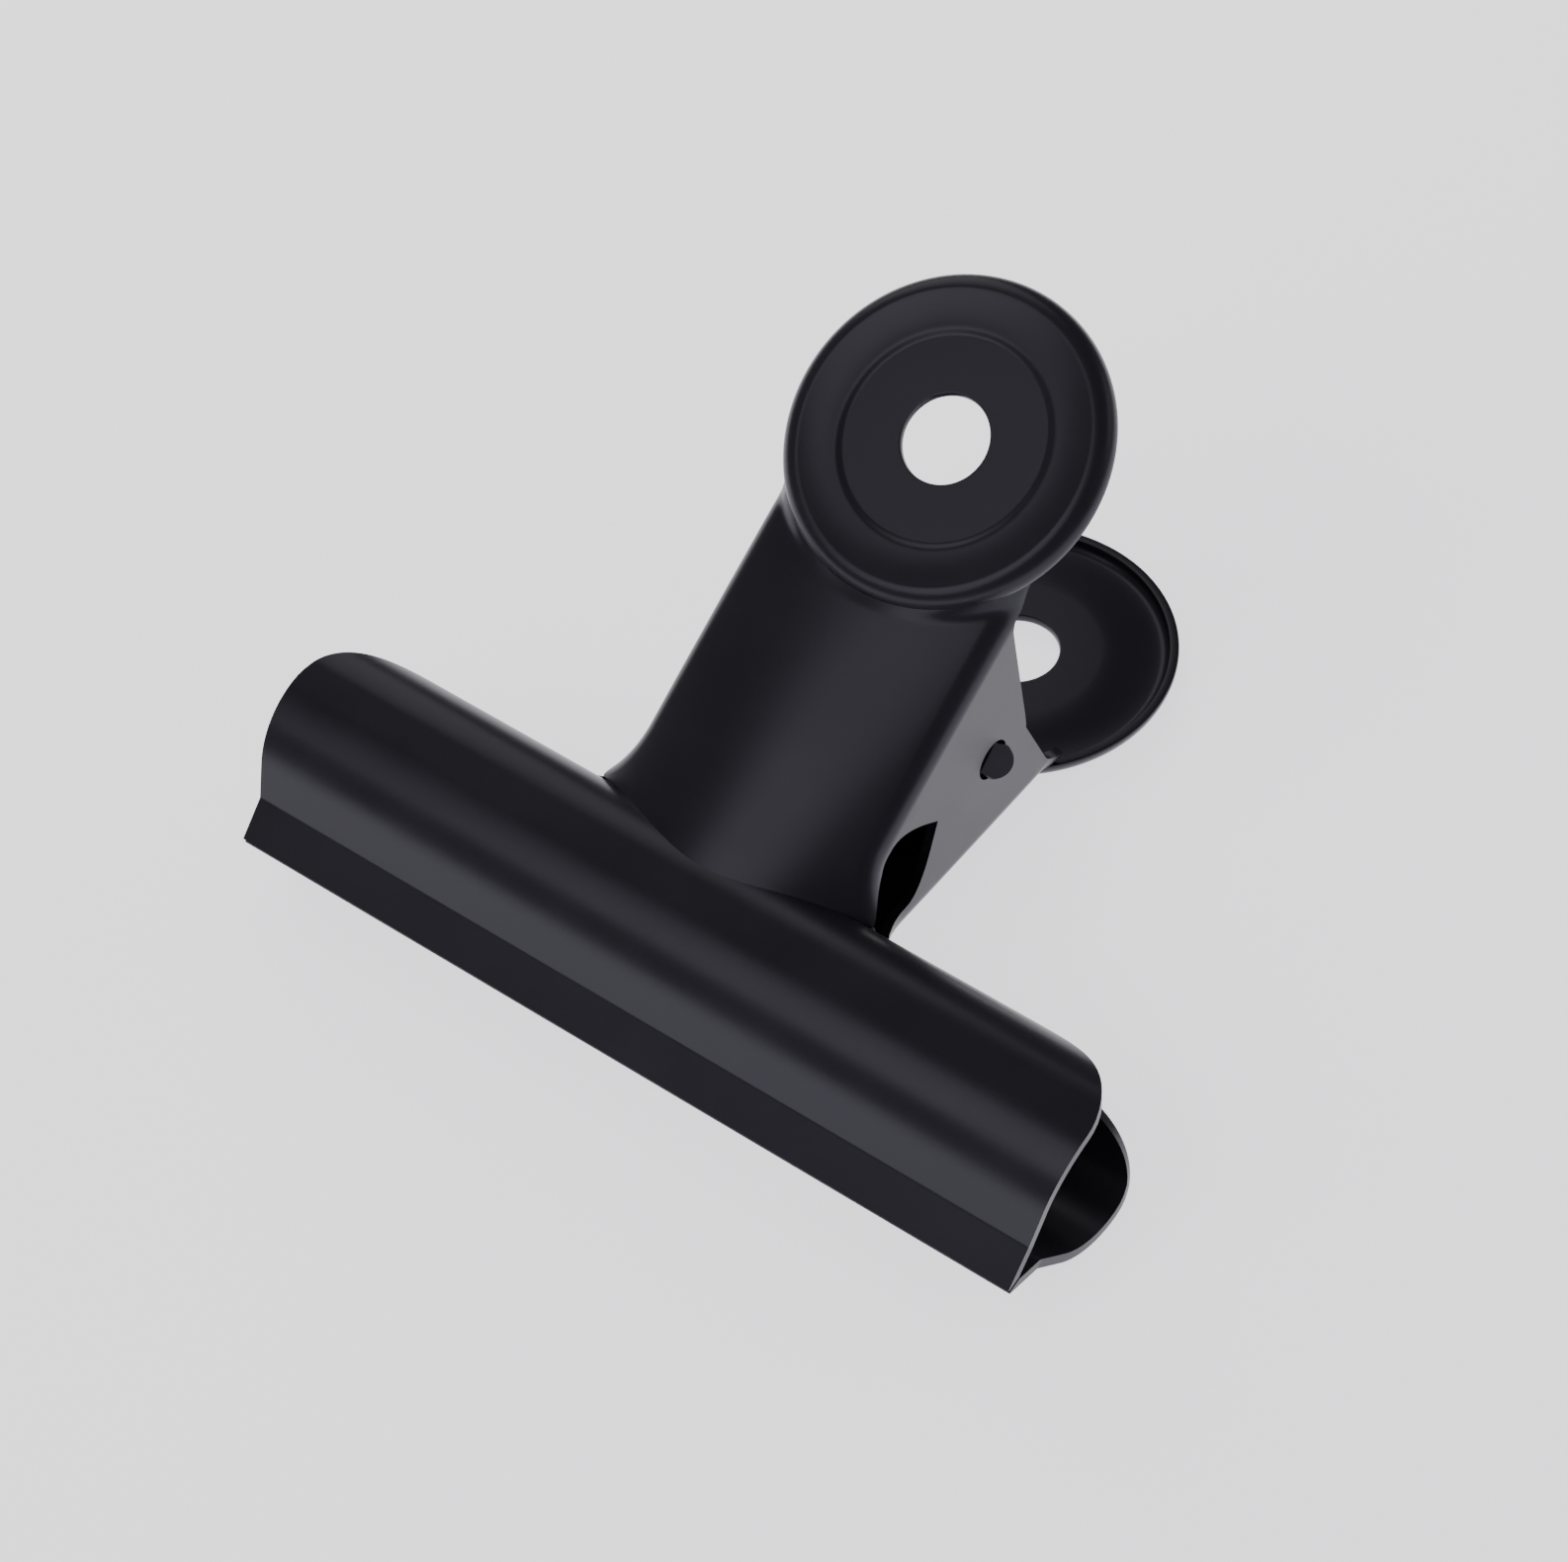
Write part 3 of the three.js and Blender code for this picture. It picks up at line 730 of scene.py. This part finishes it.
def spring_path():
    """(y, z, heading) along one leg of the strip's middle line, from under the pivot to the pad's end."""
    lean = math.pi / 2 - PLATE_LEAN
    pad_out, pad_z = out_z(0, -PAD_DEPTH)
    foot_y = SPRING_ROLL * math.sin(SPRING_RISE)
    foot_z = PIVOT_Z - SPRING_ROLL * math.cos(SPRING_RISE)
    leg = math.tan(SPRING_RISE)
    pad = math.tan(PLATE_LEAN)
    meet_y = (pad_out + pad * (foot_z - leg * foot_y - pad_z)) / (1 - pad * leg)
    meet_z = foot_z + leg * (meet_y - foot_y)
    trim = PAD_RADIUS * math.tan((lean - SPRING_RISE) / 2)
    bend_y = meet_y - trim * math.cos(SPRING_RISE) - PAD_RADIUS * math.sin(SPRING_RISE)
    bend_z = meet_z - trim * math.sin(SPRING_RISE) + PAD_RADIUS * math.cos(SPRING_RISE)

    def arc(y, z, radius, headings):
        return [(y + radius * math.sin(h), z - radius * math.cos(h), h) for h in headings]

    roll = arc(0, PIVOT_Z, SPRING_ROLL, spread(6 * FINE, 0, SPRING_RISE))
    bend = arc(bend_y, bend_z, PAD_RADIUS, spread(8 * FINE, SPRING_RISE, lean))
    y0, z0, _ = roll[-1]
    y1, z1, _ = bend[0]
    straight = [(lerp(y0, y1, t), lerp(z0, z1, t), SPRING_RISE) for t in spread(16 * FINE, 0, 1)[1:-1]]
    y2, z2, _ = bend[-1]
    end = (y2 + PAD_LENGTH * math.cos(lean), z2 + PAD_LENGTH * math.sin(lean), lean)
    return roll + straight + bend + [end]


def spring_object():
    """One strip of even thickness along the path and its mirror image, with softened long edges."""
    leg = spring_path()
    path = [(-y, z, -h) for y, z, h in reversed(leg[1:])] + leg
    nose = EDGE_ROUND
    half, thick = SPRING_HALF, SPRING_THICK / 2
    corner = [(half, thick - nose), (half - nose / 3, thick - nose / 3), (half - nose, thick)]
    section = list(corner)
    section += [(-x, d) for x, d in reversed(corner)]
    section += [(-x, -d) for x, d in corner]
    section += [(x, -d) for x, d in reversed(corner)]
    points = []
    for y, z, h in path:
        for x, d in section:
            points.append((x, y - d * math.sin(h), z + d * math.cos(h)))
    n = len(section)
    faces = [tuple(range(n)), tuple(len(points) - 1 - j for j in range(n))]
    for k in range(0, len(points) - n, n):
        for j in range(n):
            following = (j + 1) % n
            faces.append((k + j, k + j + n, k + following + n, k + following))
    return shade(face_outward(new_object("spring_visual", new_mesh("spring", points, faces))))


# ---- materials ----------------------------------------------------------------------------------
def node(tree, kind, **inputs):
    """A shader node, with input values given by name and a space in a name written as _."""
    made = tree.nodes.new(kind)
    for key, value in inputs.items():
        made.inputs[key.replace("_", " ")].default_value = value
    return made


def new_material(name):
    """(material, its node tree, its surface shader)"""
    material = bpy.data.materials.new(name)
    material.use_nodes = True
    tree = material.node_tree
    return material, tree, tree.nodes["Principled BSDF"]


def vary(tree, surface, pattern, gloss, dark, light):
    """The pattern drives the surface's roughness, through gloss, and its colour, from dark to light."""
    amount = pattern.outputs["Fac"]
    tree.links.new(amount, gloss.inputs["Value"])
    tree.links.new(gloss.outputs["Result"], surface.inputs["Roughness"])
    tint = tree.nodes.new("ShaderNodeMix")
    tint.data_type = "RGBA"
    tint.inputs["A"].default_value = (*dark, 1)
    tint.inputs["B"].default_value = (*light, 1)
    tree.links.new(amount, tint.inputs["Factor"])
    tree.links.new(tint.outputs["Result"], surface.inputs["Base Color"])


def black_coat():
    """Satin black paint on steel: faint mottling of its gloss and colour, and a fine orange peel."""
    material, tree, surface = new_material("black_coat")
    place = tree.nodes.new("ShaderNodeTexCoord").outputs["Object"]
    mottle = node(tree, "ShaderNodeTexNoise", Scale=140.0, Detail=4.0, Roughness=0.55)
    peel = node(tree, "ShaderNodeTexNoise", Scale=2600.0, Detail=2.0, Roughness=0.5)
    tree.links.new(place, mottle.inputs["Vector"])
    tree.links.new(place, peel.inputs["Vector"])
    gloss = node(tree, "ShaderNodeMapRange", From_Min=0.3, From_Max=0.7, To_Min=0.28, To_Max=0.33)
    vary(tree, surface, mottle, gloss, (0.0135, 0.0125, 0.0165), (0.0175, 0.0165, 0.0215))
    bump = node(tree, "ShaderNodeBump", Strength=0.05, Distance=0.00004)
    tree.links.new(peel.outputs["Fac"], bump.inputs["Height"])
    tree.links.new(bump.outputs["Normal"], surface.inputs["Normal"])
    surface.inputs["Metallic"].default_value = 0.0
    surface.inputs["IOR"].default_value = 1.37
    surface.inputs["Specular Tint"].default_value = (0.88, 0.84, 1.0, 1)
    return material


def spring_steel():
    """Bright spring strip with fine rolling lines across x."""
    material, tree, surface = new_material("spring_steel")
    place = tree.nodes.new("ShaderNodeTexCoord").outputs["Object"]
    squeeze = node(tree, "ShaderNodeMapping", Scale=(5200.0, 160.0, 160.0))
    lines = node(tree, "ShaderNodeTexNoise", Scale=1.0, Detail=3.0, Roughness=0.6)
    tree.links.new(place, squeeze.inputs["Vector"])
    tree.links.new(squeeze.outputs["Vector"], lines.inputs["Vector"])
    gloss = node(tree, "ShaderNodeMapRange", To_Min=0.22, To_Max=0.42)
    vary(tree, surface, lines, gloss, (0.30, 0.31, 0.33), (0.44, 0.45, 0.47))
    surface.inputs["Metallic"].default_value = 1.0
    return material


# ---- camera, light and floor --------------------------------------------------------------------
def add_camera():
    """The viewing angle: a long lens looking down at the clip from its right front."""
    data = bpy.data.cameras.new("camera")
    data.lens = LENS
    data.sensor_width = SENSOR
    data.shift_x, data.shift_y = SHIFT
    camera = new_object("camera", data)
    axis = Vector(EYE_TURN)
    picture = Matrix.Rotation(axis.length, 3, axis)
    to_part = PLACE.to_3x3().normalized()
    right = to_part @ picture[0]
    up = -(to_part @ picture[1])
    back = -(to_part @ picture[2])
    turn = Matrix((right, up, back)).transposed().to_4x4()
    camera.matrix_world = Matrix.Translation(PLACE @ Vector(EYE)) @ turn
    bpy.context.scene.camera = camera


def add_floor():
    """A plain pale floor with a soft glow, as on a light table."""
    h = FLOOR_HALF
    corners = [(-h, -h, 0), (h, -h, 0), (h, h, 0), (-h, h, 0)]
    floor = new_object("floor", new_mesh("floor", corners, [(0, 1, 2, 3)]))
    floor.location.z = FLOOR_Z
    material, _, surface = new_material("floor")
    surface.inputs["Base Color"].default_value = (0.8, 0.8, 0.8, 1)
    surface.inputs["Roughness"].default_value = 0.7
    surface.inputs["Emission Color"].default_value = (0.955, 0.95, 1.0, 1)
    surface.inputs["Emission Strength"].default_value = FLOOR_GLOW
    floor.data.materials.append(material)
    return floor


def add_world():
    world = bpy.data.worlds.new("world")
    world.use_nodes = True
    background = world.node_tree.nodes["Background"]
    background.inputs["Color"].default_value = (0.93, 0.92, 1.0, 1)
    background.inputs["Strength"].default_value = WORLD_GLOW
    bpy.context.scene.world = world


def soft_panel(name, azimuth, elevation, distance, size, radiance):
    """A rectangular soft light in that direction from the clip, facing it."""
    across = math.cos(math.radians(elevation))
    direction = Vector((
        across * math.cos(math.radians(azimuth)),
        across * math.sin(math.radians(azimuth)),
        math.sin(math.radians(elevation)),
    ))
    data = bpy.data.lights.new(name, "AREA")
    data.shape = "RECTANGLE"
    data.size, data.size_y = size
    data.energy = radiance * math.pi * data.size * data.size_y
    light = new_object(name, data)
    light.location = Vector(PANEL_TARGET) + direction * distance
    light.rotation_euler = (-direction).to_track_quat("-Z", "Y").to_euler()


# ---- the scene ----------------------------------------------------------------------------------
coat = black_coat()
for build, body, cad in ((front_plate, "front", "front_plate"), (back_plate, "back", "back_plate")):
    plate = build()
    # The unions leave an empty slot, which would otherwise be the one in use.
    plate.data.materials.clear()
    plate.data.materials.append(coat)
    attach(plate, body)
    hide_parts(cad)

spring = spring_object()
spring.data.materials.append(spring_steel())
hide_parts("spring")
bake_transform(spring)

add_camera()
add_world()
add_floor()
for name, panel in PANELS.items():
    soft_panel(name, *panel)
